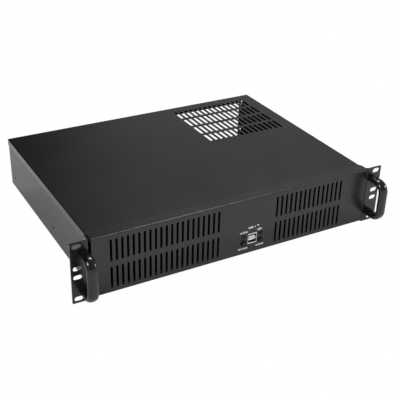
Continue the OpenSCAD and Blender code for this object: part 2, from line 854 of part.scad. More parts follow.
// The fixed part of a push switch: rim, barrel and body, turned about the button's axis
module switch_body(button_d) {
    color(black_plastic)
    translate([0, front_y, 0])
    rotate([-90, 0, 0])
    difference() {
        union() {
            translate([0, 0, -switch_rim_proud])
                cylinder(h = switch_rim_proud, d = switch_barrel_d(button_d) + 2 * switch_rim);
            cylinder(h = switch_cavity_y, d = switch_barrel_d(button_d));
            translate([0, 0, switch_lip_l + fit_gap])
                cylinder(h = switch_l - switch_lip_l - fit_gap, d = switch_body_d(button_d));
        }
        translate([0, 0, -switch_rim_proud - cut])
            cylinder(h = switch_rim_proud + switch_cavity_y + 2 * cut, d = switch_bore_d(button_d));
        translate([0, 0, switch_cavity_y]) cylinder(h = switch_cavity_l, d = switch_cavity_d(button_d));
    }
}

// The moving part: a capped stem with a shoulder that the barrel holds back
module switch_button(button_d) {
    shoulder_y = switch_cavity_y + move_gap;
    cap_y = -switch_rim_proud - switch_cap_proud;
    color(black_gloss)
    translate([0, front_y, 0])
    rotate([-90, 0, 0]) {
        translate([0, 0, cap_y]) cylinder(h = shoulder_y - cap_y, d = button_d);
        translate([0, 0, shoulder_y]) cylinder(h = switch_shoulder_l, d = button_d + 2 * switch_shoulder_out);
    }
}

module switch_nut(button_d) {
    barrel_d = switch_barrel_d(button_d);
    color(zinc)
    translate([0, front_y + panel_t, 0])
        rotate([-90, 30, 0])
            nut(barrel_d + 2 * switch_nut_out, switch_nut_h, barrel_d + 2 * screw_gap);
}

module power_place() { translate([cluster_x - cluster_side, 0, button_z]) children(); }

module reset_place() { translate([cluster_x + cluster_side, 0, button_z]) children(); }

module power_switch() { power_place() switch_body(power_button_d); }

module power_button() { power_place() switch_button(power_button_d); }

module power_switch_nut() { power_place() switch_nut(power_button_d); }

module reset_switch() { reset_place() switch_body(reset_button_d); }

module reset_button() { reset_place() switch_button(reset_button_d); }

module reset_switch_nut() { reset_place() switch_nut(reset_button_d); }

module terminals() {
    for (side = [-1, 1])
        translate([side * terminal_side - terminal_t / 2, front_y + switch_l, -terminal_w / 2])
            cube([terminal_t, terminal_l, terminal_w]);
}

module switch_terminals() {
    color(brass) {
        power_place() terminals();
        reset_place() terminals();
    }
}

// A lamp: a round lens with a domed end and a flange behind
module lamp() {
    dome_h = lamp_d * lamp_dome_share;
    dome_r = (lamp_d * lamp_d / 4 + dome_h * dome_h) / (2 * dome_h);
    color(lens_smoke)
    translate([0, front_y - lamp_proud, 0])
    rotate([-90, 0, 0]) {
        translate([0, 0, dome_h]) cylinder(h = lamp_l - dome_h, d = lamp_d);
        intersection() {
            translate([0, 0, dome_r]) sphere(dome_r);
            cylinder(h = dome_h, d = lamp_d);
        }
        translate([0, 0, lamp_l]) cylinder(h = lamp_flange_t, d = lamp_d + 2 * lamp_flange_out);
    }
}

module lamp_holder() {
    color(black_plastic)
    translate([0, front_y, 0])
    rotate([-90, 0, 0])
    difference() {
        union() {
            translate([0, 0, -holder_rim_t]) cylinder(h = holder_rim_t, d = holder_d() + 2 * holder_rim_out);
            cylinder(h = holder_l, d = holder_d());
        }
        translate([0, 0, -cut]) cylinder(h = holder_l + 2 * cut, d = lamp_d + 2 * fit_gap);
    }
}

module power_lamp_place() { translate([cluster_x - cluster_side, 0, lamp_z]) children(); }

module disk_lamp_place() { translate([cluster_x + cluster_side, 0, lamp_z]) children(); }

module power_led() { power_lamp_place() lamp(); }

module disk_led() { disk_lamp_place() lamp(); }

module power_led_holder() { power_lamp_place() lamp_holder(); }

module disk_led_holder() { disk_lamp_place() lamp_holder(); }

function usb_z() = cluster_z - usb_h / 2;

// The lower port is number 0 and the upper one number 1
module usb_port_place(i) {
    port_gap = (usb_h - 2 * usb_port_h) / 3;
    translate([cluster_x, front_y - usb_proud, usb_z() + port_gap + i * (usb_port_h + port_gap)])
        children();
}

// The metal shell of the double socket, open to the front in two ports
module usb_shell() {
    color(zinc)
    difference() {
        translate([cluster_x - usb_w / 2, front_y - usb_proud, usb_z()]) cube([usb_w, usb_d, usb_h]);
        for (i = [0, 1])
            usb_port_place(i)
                translate([-usb_w / 2 + usb_wall, -cut, 0])
                    cube([usb_w - 2 * usb_wall, usb_d + cut - usb_wall, usb_port_h]);
    }
}

// The white core of each port: a block at the back and a tongue next to the other port
module usb_core() {
    block_w = usb_w - 2 * (usb_wall + fit_gap);
    tongue_w = block_w - 2 * usb_tongue_side;
    block_y = usb_d - usb_wall - usb_core_d;
    color(white_plastic)
    for (i = [0, 1])
        usb_port_place(i) {
            translate([-block_w / 2, block_y, fit_gap])
                cube([block_w, usb_core_d - fit_gap, usb_port_h - 2 * fit_gap]);
            translate([
                -tongue_w / 2,
                usb_tongue_set_in,
                i == 0 ? usb_port_h - usb_tongue_gap - usb_tongue_t : usb_tongue_gap
            ])
                cube([tongue_w, block_y - usb_tongue_set_in + cut, usb_tongue_t]);
        }
}

module usb_post_places() {
    for (i = [0, 1])
        translate([cluster_x, usb_board_y + usb_post_first + i * usb_post_pitch, 0]) children();
}

module usb_board() {
    color(green_board)
    difference() {
        translate([cluster_x - usb_board_w / 2, usb_board_y, usb_z() - usb_board_t])
            cube([usb_board_w, usb_board_d, usb_board_t]);
        usb_post_places()
            translate([0, 0, usb_z() - usb_board_t - cut])
                cylinder(h = usb_board_t + 2 * cut, d = m3_hole_d);
    }
}

module usb_posts() {
    color(brass)
    usb_post_places()
        translate([0, 0, floor_z])
            difference() {
                cylinder(h = usb_z() - usb_board_t - floor_z, d = post_d);
                translate([0, 0, post_floor_t]) cylinder(h = post_h, d = m3_d);
            }
}

module usb_screws() {
    color(zinc)
    usb_post_places() translate([0, 0, usb_z()]) screw(m3_d, usb_screw_l, m3_head_d, m3_head_h);
}

// Inner parts

module board_posts() {
    color(brass)
    for (x_share = [0, post_column_share, 1])
        for (y_share = [0, post_row_share, 1])
            translate([post_first_x - x_share * post_span_x, post_first_y - y_share * post_span_y, floor_z])
                difference() {
                    cylinder(h = post_h, d = post_d, $fn = 6);
                    translate([0, 0, post_floor_t]) cylinder(h = post_h, d = post_bore_d);
                }
}

module drive_screw_places() {
    for (side = [-1, 1])
        for (y = [drive_screw_end, drive_l - drive_screw_end])
            translate([
                drive_x + side * (drive_w / 2 + drive_t + drive_foot_w / 2),
                front_y + drive_front + y,
                floor_z
            ])
                children();
}

// A bridge over two drives: top, two legs and two feet
module drive_bracket() {
    outer_r = bend_r + drive_t;
    color(black_steel)
    difference() {
        translate([drive_x, front_y + drive_front + drive_l, floor_z])
            rotate([90, 0, 0])
                linear_extrude(drive_l) {
                    drive_half_section(outer_r);
                    mirror([1, 0]) drive_half_section(outer_r);
                }
        // Screw slots in the legs, in two levels
        for (side = [-1, 1])
            for (level = [0, 1])
                for (i = [-2:2])
                    translate([
                        drive_x + side * (drive_w / 2 - cut),
                        front_y + drive_front + drive_l / 2 + i * drive_slot_pitch,
                        floor_z + drive_slot_low + level * drive_slot_pitch
                    ])
                        rotate([90, 0, side * 90]) oblong(drive_slot_l, drive_slot_w, drive_t + 2 * cut);
        // Two windows in the top
        for (i = [0, 1])
            translate([
                drive_x - drive_window_w / 2,
                drive_window_y + i * (drive_window_l + drive_window_gap),
                floor_z + drive_h - drive_t - cut
            ])
                cube([drive_window_w, drive_window_l, drive_t + 2 * cut]);
        drive_screw_places() translate([0, 0, -cut]) cylinder(h = drive_t + 2 * cut, d = m3_hole_d);
    }
}

// Half of the drive bracket's section, to the right of its middle
module drive_half_section(outer_r) {
    out_x = drive_w / 2 + drive_t;
    translate([0, drive_h - drive_t]) square([out_x - outer_r, drive_t]);
    translate([out_x - outer_r, drive_h - outer_r]) quarter_ring(outer_r, drive_t);
    translate([out_x - drive_t, outer_r]) square([drive_t, drive_h - 2 * outer_r]);
    translate([out_x - drive_t + outer_r, outer_r]) rotate(180) quarter_ring(outer_r, drive_t);
    translate([out_x - drive_t + outer_r, 0]) square([drive_foot_w + drive_t - outer_r, drive_t]);
}

module drive_bracket_screws() {
    color(zinc)
    drive_screw_places() translate([0, 0, drive_t]) screw(m3_d, drive_t + sheet_t, m3_head_d, m3_head_h);
}

module fan_screw_places() {
    for (i = [0:fan_count])
        translate([
            fan_x + (i - fan_count / 2) * (fan_w - fan_size / 2) / fan_count,
            front_y + fan_front + fan_t + fan_flange_d / 2,
            floor_z
        ])
            children();
}

// A wall for two fans, with its edges folded to the back
module fan_bracket() {
    color(black_steel)
    difference() {
        translate([fan_x, front_y + fan_front, floor_z + fit_gap])
            pan(fan_w, fan_h, fan_t, fan_side_d, fan_side_d, fan_flange_d);
        for (i = [0:fan_count - 1])
            translate([
                fan_x + (i - (fan_count - 1) / 2) * fan_size,
                front_y + fan_front,
                floor_z + fit_gap + fan_h / 2
            ]) {
                hole_y(fan_size - 2 * fan_rim, fan_t);
                for (x = [-1, 1])
                    for (z = [-1, 1])
                        translate([x * (fan_size / 2 - fan_fix_side), 0, z * (fan_size / 2 - fan_fix_side)])
                            hole_y(fan_fix_d, fan_t);
            }
        fan_screw_places() translate([0, 0, -cut]) cylinder(h = fan_t + 2 * cut, d = m3_hole_d);
    }
}

module fan_bracket_screws() {
    color(zinc)
    fan_screw_places()
        translate([0, 0, fan_t + fit_gap]) screw(m3_d, fan_t + sheet_t, m3_head_d, m3_head_h);
}

// Feet

module foot_places() {
    for (x = [-1, 1]) for (y = [0, 1]) foot_place(x, y) children();
}

module foot_place(side, back) {
    translate([
        side * (body_w / 2 - foot_side),
        back == 1 ? back_y - foot_end : front_y + foot_end,
        tray_z
    ])
        children();
}

// A turned rubber foot, bored from below for its screw
module foot() {
    color(black_rubber)
    rotate_extrude()
    difference() {
        polygon([
            [0, 0],
            [foot_d / 2, 0],
            [foot_d / 2 - foot_taper, -foot_h + foot_edge_r],
            [foot_d / 2 - foot_taper - foot_edge_r, -foot_h],
            [0, -foot_h]
        ]);
        translate([0, -foot_h - cut]) square([foot_bore_d / 2, foot_h - foot_floor_t + cut]);
        translate([0, -foot_h - cut]) square([m3_hole_d / 2, foot_h + 2 * cut]);
    }
}

module foot_front_left() { foot_place(-1, 0) foot(); }

module foot_front_right() { foot_place(1, 0) foot(); }

module foot_rear_left() { foot_place(-1, 1) foot(); }

module foot_rear_right() { foot_place(1, 1) foot(); }

module foot_screws() {
    color(zinc)
    foot_places()
        translate([0, 0, -foot_floor_t])
            rotate([180, 0, 0]) screw(m3_d, foot_floor_t + sheet_t, m3_head_d, m3_head_h);
}

base_tray();
rear_panel();
board_wall();
slot_cover(0);  // slot_cover_1
slot_cover(1);  // slot_cover_2
slot_cover(2);  // slot_cover_3
slot_cover(3);  // slot_cover_4
slot_screws();
front_panel();
top_cover();
cover_screws();
cover_nuts();
ear_left();
ear_right();
ear_screws();
ear_nuts();
handle_left();
handle_right();
handle_screws();
power_switch();
power_button();
power_switch_nut();
reset_switch();
reset_button();
reset_switch_nut();
switch_terminals();
power_led();
disk_led();
power_led_holder();
disk_led_holder();
usb_shell();
usb_core();
usb_board();
usb_posts();
usb_screws();
board_posts();
drive_bracket();
drive_bracket_screws();
fan_bracket();
fan_bracket_screws();
foot_front_left();
foot_front_right();
foot_rear_left();
foot_rear_right();
foot_screws();
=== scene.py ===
"""Finishes for an empty rackmount server case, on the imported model's own pieces."""

import json
import math

import bmesh
import bpy
from mathutils import Matrix, Vector


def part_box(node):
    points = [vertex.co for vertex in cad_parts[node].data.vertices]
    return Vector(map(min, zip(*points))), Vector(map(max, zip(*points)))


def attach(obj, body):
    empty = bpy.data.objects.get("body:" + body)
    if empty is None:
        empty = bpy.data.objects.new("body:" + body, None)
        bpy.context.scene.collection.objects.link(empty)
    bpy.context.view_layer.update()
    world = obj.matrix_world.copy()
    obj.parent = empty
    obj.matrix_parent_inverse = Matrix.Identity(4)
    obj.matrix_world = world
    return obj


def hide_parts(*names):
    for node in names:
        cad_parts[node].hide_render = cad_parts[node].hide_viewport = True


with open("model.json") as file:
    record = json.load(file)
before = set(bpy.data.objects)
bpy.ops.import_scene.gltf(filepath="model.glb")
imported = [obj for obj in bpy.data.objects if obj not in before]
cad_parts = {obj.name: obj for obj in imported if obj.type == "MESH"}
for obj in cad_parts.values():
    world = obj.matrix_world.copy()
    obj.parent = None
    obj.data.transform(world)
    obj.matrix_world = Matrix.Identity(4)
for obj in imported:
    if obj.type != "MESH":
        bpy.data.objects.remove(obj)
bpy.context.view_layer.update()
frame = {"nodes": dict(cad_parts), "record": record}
NODES = frame["nodes"]

MM = 0.001

# Camera: where it stands, in metres; its turn to the right of +Y, its tilt down and its roll,
# in radians; its focal length and its sensor's width, in millimetres; and how near and how
# far it sees, in metres
CAMERA_PLACE = Vector((-508.4, -924.2, 599.5)) * MM
CAMERA_YAW = 0.5218
CAMERA_PITCH = 0.5043
CAMERA_ROLL = 0.0290
CAMERA_LENS = 71.63
SENSOR = 36.0
CLIP_NEAR = 0.05
CLIP_FAR = 60

# Colours, as sRGB hex
BLACK_COAT = "171717"
BLACK_COAT_PALER = "1a1a1a"
# Painted shade: a near-black, put into hollows, gaps and cut edges where only shade falls
PAINTED_SHADE_BLACK = "0c0c0c"
# Lighter coat: a painted highlight along the front panel's upper fold, and the rear edge of its
# return
LIGHTER_COAT = "303030"
LACQUER = "0d0d0e"
LACQUER_PALER = "141414"
ZINC = "b2b5b8"
ZINC_DULL = "a4a7aa"
NICKEL = "f0f0ee"
NICKEL_DULL = "dcdcda"
BRASS = "b8944e"
BLACK_ABS = "0a0a0a"
# A highlight painted in the middle of the pressed caps
CAP_HIGHLIGHT_ABS = "3a3a3a"
NYLON = "f0efe9"
# Shade painted on the socket's core behind the tips of its tongues
NYLON_PAINTED_SHADE = "0a0a0a"
SOLDER_RESIST = "14482a"
SMOKE_TINT = "0a0a0a"
OLIVE_TINT = "3a3c14"
LENS_SHADE = "0d0d0e"
RUBBER = "151515"
RUBBER_DUSTY = "1a1a1a"
INK_GREY = "e6e6e2"
FLOOR_WHITE = "f4f4f4"
WHITE = (1, 1, 1, 1)

# Noise lies mostly between these values, and is stretched to each finish's own range
NOISE_LOW = 0.35
NOISE_HIGH = 0.65

# Powder coat: the width and depth of its pebbles and the width of its slow drift, in
# millimetres, and how much of the pebbles' depth shows. Real pebbles are a little finer:
# these are as coarse as they need to be to show
PEBBLE = 0.55
PEBBLE_DEPTH = 0.02
PEBBLE_SHOWS = 0.3
DRIFT = 90

# Roughness of the powder coat on most sheets, on the front panel and on the tray, how far it
# drifts, and the roughness where shade is painted into hollows, gaps and cut edges
COAT_ROUGH = 0.22
PANEL_ROUGH = 0.26
TRAY_ROUGH = 0.34
ROUGH_DRIFT = 0.02
PAINTED_SHADE_ROUGH = 0.95

# How strongly each finish mirrors. Metals keep the default
COAT_IOR = 1.5
PLASTIC_IOR = 1.5
BLACK_PLASTIC_IOR = 1.3

# Plastics, rubber and ink: how much of their grain's depth shows
GRAIN_SHOWS = 0.4

# Pressed caps, as shares of their width: the middle of the face, how far out the painted
# highlight is full, and from where it is black. The width and depth of their grain, in
# millimetres
CAP_MIDDLE = (0.5, 0, 0.5)
CAP_HIGHLIGHT_TO = 0.12
CAP_BLACK_FROM = 0.32
CAP_GRAIN = 0.8
CAP_DEPTH = 0.005

# Where finishes change, in millimetres: half the thickness of the tray's sheet, the width of
# the painted highlight along the front panel's upper fold and of the lighter rear edge of its
# upper return, and how far from their tips the tongues of the socket are white before the
# painted shade begins
HALF_SHEET = 0.5
FOLD_HIGHLIGHT = 1.0
EDGE_LIGHTER = 0.6
TONGUE_TIP = 0.5

# The front panel's upright folds, where shade is painted: how much of their width, and of
# their depth, lies in the gaps beside the ears, in millimetres
SIDE_FOLD = 1.4
SIDE_FOLD_DEPTH = 2.5

# How far inside the cover's outline and below its top the cut edges of its vent begin, where
# shade is painted on them, in millimetres
COVER_INSET = Vector((1.0, 1.0, 0.1))

# How far a mask reaches past the piece that it is for, in millimetres
PAST = 1.0


def linear(hex_colour):
    """An sRGB hex colour as linear RGBA, by the standard curve: straight for the darkest
    values and a power above them."""
    channels = [int(hex_colour[i:i + 2], 16) / 255 for i in (0, 2, 4)]
    values = [c / 12.92 if c <= 0.04045 else ((c + 0.055) / 1.055) ** 2.4 for c in channels]
    return (*values, 1.0)


# Materials

def add_node(tree, kind, inputs=None, stops=(), **settings):
    """A node of that kind. inputs gives each of its sockets, by name or number, a plain
    value or the socket that feeds it, stops are the places and colours of a colour ramp, and
    settings are the node's own."""
    node = tree.nodes.new(kind)
    for name, value in settings.items():
        setattr(node, name, value)
    for number, (place, colour) in enumerate(stops):
        node.color_ramp.elements[number].position = place
        node.color_ramp.elements[number].color = colour
    for key, value in (inputs or {}).items():
        if isinstance(value, bpy.types.NodeSocket):
            tree.links.new(value, node.inputs[key])
        else:
            node.inputs[key].default_value = value
    return node


def new_material(name):
    """An empty node material and its tree."""
    material = bpy.data.materials.new(name)
    material.use_nodes = True
    material.node_tree.nodes.clear()
    return material, material.node_tree


def within(tree, low, high):
    """1 at points between two corners, and 0 outside them."""
    point = add_node(tree, "ShaderNodeTexCoord").outputs["Object"]
    above = add_node(tree, "ShaderNodeVectorMath", {0: point, 1: low}, operation="SUBTRACT")
    below = add_node(tree, "ShaderNodeVectorMath", {0: high, 1: point}, operation="SUBTRACT")
    nearest = add_node(
        tree, "ShaderNodeVectorMath", {0: above.outputs[0], 1: below.outputs[0]},
        operation="MINIMUM",
    )
    parts = add_node(tree, "ShaderNodeSeparateXYZ", {"Vector": nearest.outputs[0]}).outputs
    least = parts[0]
    for part in (parts[1], parts[2]):
        least = add_node(
            tree, "ShaderNodeMath", {0: least, 1: part}, operation="MINIMUM",
        ).outputs[0]
    inside = add_node(tree, "ShaderNodeMath", {0: least, 1: 0}, operation="GREATER_THAN")
    return inside.outputs[0]


def uneven(tree, lump_mm, rough, colours=None, detail=2.0):
    """Noise whose lumps are about lump_mm across, and a roughness and, where it is asked for,
    a colour that run with it from their first value to their second."""
    place = add_node(tree, "ShaderNodeTexCoord")
    noise = add_node(
        tree, "ShaderNodeTexNoise",
        {"Vector": place.outputs["Object"], "Scale": 1 / (lump_mm * MM), "Detail": detail},
    ).outputs["Fac"]
    gloss = add_node(
        tree, "ShaderNodeMapRange",
        {
            "Value": noise, "From Min": NOISE_LOW, "From Max": NOISE_HIGH,
            "To Min": rough[0], "To Max": rough[1],
        },
    ).outputs["Result"]
    if colours is None:
        return noise, gloss, None
    colour = add_node(
        tree, "ShaderNodeValToRGB", {"Fac": noise},
        stops=((NOISE_LOW, linear(colours[0])), (NOISE_HIGH, linear(colours[1]))),
    ).outputs["Color"]
    return noise, gloss, colour


def powder_coated_steel(
    name="powder_coated_steel", rough=COAT_ROUGH, painted_shade_boxes=(), lightened=(),
):
    """Cold-rolled steel sheet, folded, then sprayed with black polyester powder and baked.
    The powder melts into a fine pebbled skin: satin, with soft highlights that break up.
    In hollows, gaps and cut edges shade is painted in, as a near-black, matt metallic skin.
    Where it is asked for, the coat is painted lighter, such as a highlight along a fold."""
    material, tree = new_material(name)
    gloss, colour = uneven(
        tree, DRIFT, (rough, rough + ROUGH_DRIFT), (BLACK_COAT, BLACK_COAT_PALER), detail=1.0,
    )[1:]
    # Shade painted into hollows, gaps and cut edges: near-black, metallic and rough
    metallic = painted_shade = 0.0
    for shade_box in painted_shade_boxes:
        painted_shade = add_node(
            tree, "ShaderNodeMath", {0: painted_shade, 1: within(tree, *shade_box)}, operation="MAXIMUM",
        ).outputs[0]
    if painted_shade_boxes:
        metallic = painted_shade
        colour = add_node(
            tree, "ShaderNodeMixRGB",
            {"Fac": painted_shade, "Color1": colour, "Color2": linear(PAINTED_SHADE_BLACK)},
        ).outputs["Color"]
        gloss = add_node(
            tree, "ShaderNodeMapRange", {"Value": painted_shade, "To Min": gloss, "To Max": PAINTED_SHADE_ROUGH},
        ).outputs["Result"]
    # The coat painted lighter where it is asked for, such as a highlight along a fold
    for fold in lightened:
        colour = add_node(
            tree, "ShaderNodeMixRGB",
            {"Fac": within(tree, *fold), "Color1": colour, "Color2": linear(LIGHTER_COAT)},
        ).outputs["Color"]
    place = add_node(tree, "ShaderNodeTexCoord")
    pebbles = add_node(
        tree, "ShaderNodeTexNoise",
        {"Vector": place.outputs["Object"], "Scale": 1 / (PEBBLE * MM), "Detail": 1.0},
    )
    skin = add_node(
        tree, "ShaderNodeBump",
        {
            "Height": pebbles.outputs["Fac"], "Distance": PEBBLE_DEPTH * MM,
            "Strength": PEBBLE_SHOWS,
        },
    )
    shader = add_node(
        tree, "ShaderNodeBsdfPrincipled",
        {
            "Base Color": colour, "Roughness": gloss, "Metallic": metallic,
            "Normal": skin.outputs["Normal"], "IOR": COAT_IOR,
        },
    )
    add_node(tree, "ShaderNodeOutputMaterial", {"Surface": shader.outputs["BSDF"]})
    return material


def plated_metal(name, colours, rough, spangle_mm):
    """A metal whose surface varies a little from crystal to crystal. The real crystals are
    too fine to show, so their patches are drawn as coarse as they need to be."""
    material, tree = new_material(name)
    gloss, colour = uneven(tree, spangle_mm, rough, colours)[1:]
    shader = add_node(
        tree, "ShaderNodeBsdfPrincipled",
        {"Base Color": colour, "Roughness": gloss, "Metallic": 1.0},
    )
    add_node(tree, "ShaderNodeOutputMaterial", {"Surface": shader.outputs["BSDF"]})
    return material


def zinc_plated_steel():
    """Pressed and turned steel, electroplated with zinc: pale grey, half bright."""
    return plated_metal(
        "zinc_plated_steel", colours=(ZINC_DULL, ZINC), rough=(0.32, 0.40), spangle_mm=7,
    )


def nickel_plated_steel():
    """Drawn steel shell with a bright nickel plating."""
    return plated_metal(
        "nickel_plated_steel", colours=(NICKEL_DULL, NICKEL), rough=(0.18, 0.26), spangle_mm=3,
    )


def turned_brass():
    """Brass turned from bar: warm and fairly bright."""
    return plated_metal(
        "turned_brass", colours=(BRASS, BRASS), rough=(0.25, 0.36), spangle_mm=1.5,
    )


def grained(
    name, colours, rough, grain_mm, depth_mm, shows=GRAIN_SHOWS, detail=2.0,
    ior=PLASTIC_IOR,
):
    """A skin with one grain, grain_mm across and depth_mm deep, of which a share shows. Most
    real grains are finer, and are drawn as coarse as they need to be to show."""
    material, tree = new_material(name)
    grain, gloss, colour = uneven(tree, grain_mm, rough, colours, detail)
    skin = add_node(
        tree, "ShaderNodeBump",
        {"Height": grain, "Distance": depth_mm * MM, "Strength": shows},
    )
    shader = add_node(
        tree, "ShaderNodeBsdfPrincipled",
        {"Base Color": colour, "Roughness": gloss, "Normal": skin.outputs["Normal"], "IOR": ior},
    )
    add_node(tree, "ShaderNodeOutputMaterial", {"Surface": shader.outputs["BSDF"]})
    return material


def gloss_painted_aluminium():
    """Cast aluminium handles under a wet-sprayed black lacquer: smooth, so lamps show in it
    as small sharp glints, with a slight ripple."""
    return grained(
        "gloss_painted_aluminium", colours=(LACQUER, LACQUER_PALER), rough=(0.15, 0.19),
        grain_mm=6, depth_mm=0.01, shows=0.1, detail=1.0, ior=COAT_IOR,
    )


def black_abs():
    """Injection-moulded ABS from a sparked tool: even and matt."""
    return grained(
        "black_abs", colours=(BLACK_ABS, BLACK_ABS), rough=(0.55, 0.68),
        grain_mm=0.4, depth_mm=0.01, ior=BLACK_PLASTIC_IOR,
    )


def button_abs():
    """Injection-moulded ABS, for the caps that are pressed: matt and black at the rim, with a
    highlight painted lighter in the middle of the face."""
    material, tree = new_material("button_abs")
    place = add_node(tree, "ShaderNodeTexCoord")
    parts = add_node(tree, "ShaderNodeSeparateXYZ", {"Vector": place.outputs["Generated"]})
    flat = add_node(
        tree, "ShaderNodeCombineXYZ", {"X": parts.outputs["X"], "Z": parts.outputs["Z"]},
    )
    away = add_node(
        tree, "ShaderNodeVectorMath", {0: flat.outputs[0], 1: CAP_MIDDLE},
        operation="DISTANCE",
    )
    # A highlight painted lighter in the middle of the face, fading to black at the rim
    colour = add_node(
        tree, "ShaderNodeValToRGB", {"Fac": away.outputs["Value"]},
        stops=((CAP_HIGHLIGHT_TO, linear(CAP_HIGHLIGHT_ABS)), (CAP_BLACK_FROM, linear(BLACK_ABS))),
    )
    grain, gloss, _ = uneven(tree, CAP_GRAIN, rough=(0.50, 0.60))
    skin = add_node(
        tree, "ShaderNodeBump",
        {"Height": grain, "Distance": CAP_DEPTH * MM, "Strength": GRAIN_SHOWS},
    )
    shader = add_node(
        tree, "ShaderNodeBsdfPrincipled",
        {
            "Base Color": colour.outputs["Color"], "Roughness": gloss,
            "Normal": skin.outputs["Normal"], "IOR": BLACK_PLASTIC_IOR,
        },
    )
    add_node(tree, "ShaderNodeOutputMaterial", {"Surface": shader.outputs["BSDF"]})
    return material


def socket_core_nylon(shaded_depth):
    """Glass-filled nylon, moulded round the socket's contacts: bright white and matt at the
    tips of its tongues, and painted dark behind them, as shade."""
    material, tree = new_material("socket_core_nylon")
    gloss = uneven(tree, lump_mm=0.4, rough=(0.40, 0.50))[1]
    # Shade painted dark on the core behind the tips of its tongues
    colour = add_node(
        tree, "ShaderNodeMixRGB",
        {
            "Fac": within(tree, *shaded_depth), "Color1": linear(NYLON),
            "Color2": linear(NYLON_PAINTED_SHADE),
        },
    )
    shader = add_node(
        tree, "ShaderNodeBsdfPrincipled",
        {"Base Color": colour.outputs["Color"], "Roughness": gloss, "IOR": PLASTIC_IOR},
    )
    add_node(tree, "ShaderNodeOutputMaterial", {"Surface": shader.outputs["BSDF"]})
    return material


def soft_rubber():
    """Compression-moulded rubber with a dusty, matt skin."""
    return grained(
        "soft_rubber", colours=(RUBBER, RUBBER_DUSTY), rough=(0.72, 0.85),
        grain_mm=0.5, depth_mm=0.02,
    )


def circuit_board_laminate():
    """Glass laminate under green solder resist: glossy, with the weave faintly below."""
    return grained(
        "circuit_board_laminate", colours=(SOLDER_RESIST, SOLDER_RESIST), rough=(0.25, 0.32),
        grain_mm=0.5, depth_mm=0.005,
    )


def smoky_lens(name, tint):
    """Moulded smoke-tinted polycarbonate: dark while its lamp is off."""
    return grained(
        name, colours=(tint, LENS_SHADE), rough=(0.25, 0.35),
        grain_mm=1.5, depth_mm=0.003, ior=BLACK_PLASTIC_IOR,
    )


def screen_print():
    """Pale grey ink, screen-printed on the coat: flat and matt."""
    return grained(
        "screen_print", colours=(INK_GREY, INK_GREY), rough=(0.55, 0.65),
        grain_mm=0.3, depth_mm=0.002,
    )


# Places where a finish changes

def box_mm(node):
    """The low and the high corner of a node's box, in millimetres."""
    return [Vector(corner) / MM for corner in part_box(node)]


# Inside the tray, from the middle of its sheet and open upwards, where shade is painted
TRAY_LOW, TRAY_HIGH = box_mm("base_tray")
TRAY_SHADED_INSIDE = (
    Vector((TRAY_LOW.x + HALF_SHEET, TRAY_LOW.y + HALF_SHEET, TRAY_LOW.z + HALF_SHEET)) * MM,
    Vector((TRAY_HIGH.x - HALF_SHEET, TRAY_HIGH.y - HALF_SHEET, TRAY_HIGH.z + PAST)) * MM,
)

# The cover below its top skin: the cut edges of its vent, where shade is painted
COVER_LOW, COVER_HIGH = box_mm("top_cover")
COVER_SHADED_CUTS = ((COVER_LOW + COVER_INSET) * MM, (COVER_HIGH - COVER_INSET) * MM)

# The front panel's upper fold, where a highlight is painted, and the rear edge of the return
# above it, which is painted lighter
PANEL_LOW, PANEL_HIGH = box_mm("front_panel")
PANEL_FOLD_HIGHLIGHT = (
    Vector((PANEL_LOW.x - PAST, PANEL_LOW.y - PAST, PANEL_HIGH.z - FOLD_HIGHLIGHT)) * MM,
    Vector((PANEL_HIGH.x + PAST, PANEL_LOW.y + FOLD_HIGHLIGHT, PANEL_HIGH.z + PAST)) * MM,
)
PANEL_EDGE_LIGHTER = (
    Vector((PANEL_LOW.x - PAST, PANEL_HIGH.y - EDGE_LIGHTER, PANEL_HIGH.z - HALF_SHEET)) * MM,
    Vector((PANEL_HIGH.x + PAST, PANEL_HIGH.y + PAST, PANEL_HIGH.z + PAST)) * MM,
)

# The panel's upright folds, which lie in the gaps beside the ears, where shade is painted
PANEL_SHADED_SIDES = [
    (
        Vector((fold - SIDE_FOLD, PANEL_LOW.y - PAST, PANEL_LOW.z - PAST)) * MM,
        Vector((
            fold + SIDE_FOLD, PANEL_LOW.y + SIDE_FOLD_DEPTH, PANEL_HIGH.z - SIDE_FOLD_DEPTH,
        )) * MM,
    )
    for fold in (PANEL_LOW.x, PANEL_HIGH.x)
]

# The core of the socket behind the tips of its tongues, where shade is painted
CORE_LOW, CORE_HIGH = box_mm("usb_core")
CORE_SHADED_DEPTH = (
    Vector((CORE_LOW.x - PAST, CORE_LOW.y + TONGUE_TIP, CORE_LOW.z - PAST)) * MM,
    Vector((CORE_HIGH.x + PAST, CORE_HIGH.y + PAST, CORE_HIGH.z + PAST)) * MM,
)


# Which finish goes where
COAT = powder_coated_steel()
LACQUERED = gloss_painted_aluminium()
ZINC_PLATE = zinc_plated_steel()
INK = screen_print()

FINISH_OF_SLOT = {
    "coated_steel": COAT,
    "gloss_coat": LACQUERED,
    "zinc_sheet": ZINC_PLATE,
    "zinc_hardware": ZINC_PLATE,
    "black_hardware": COAT,
    "black_plastic": black_abs(),
    "button_cap": button_abs(),
    "lens": smoky_lens("smoky_lens", SMOKE_TINT),
    "nickel_shell": nickel_plated_steel(),
    "white_plastic": socket_core_nylon(CORE_SHADED_DEPTH),
    "circuit_board": circuit_board_laminate(),
    "brass": turned_brass(),
    "rubber": soft_rubber(),
}

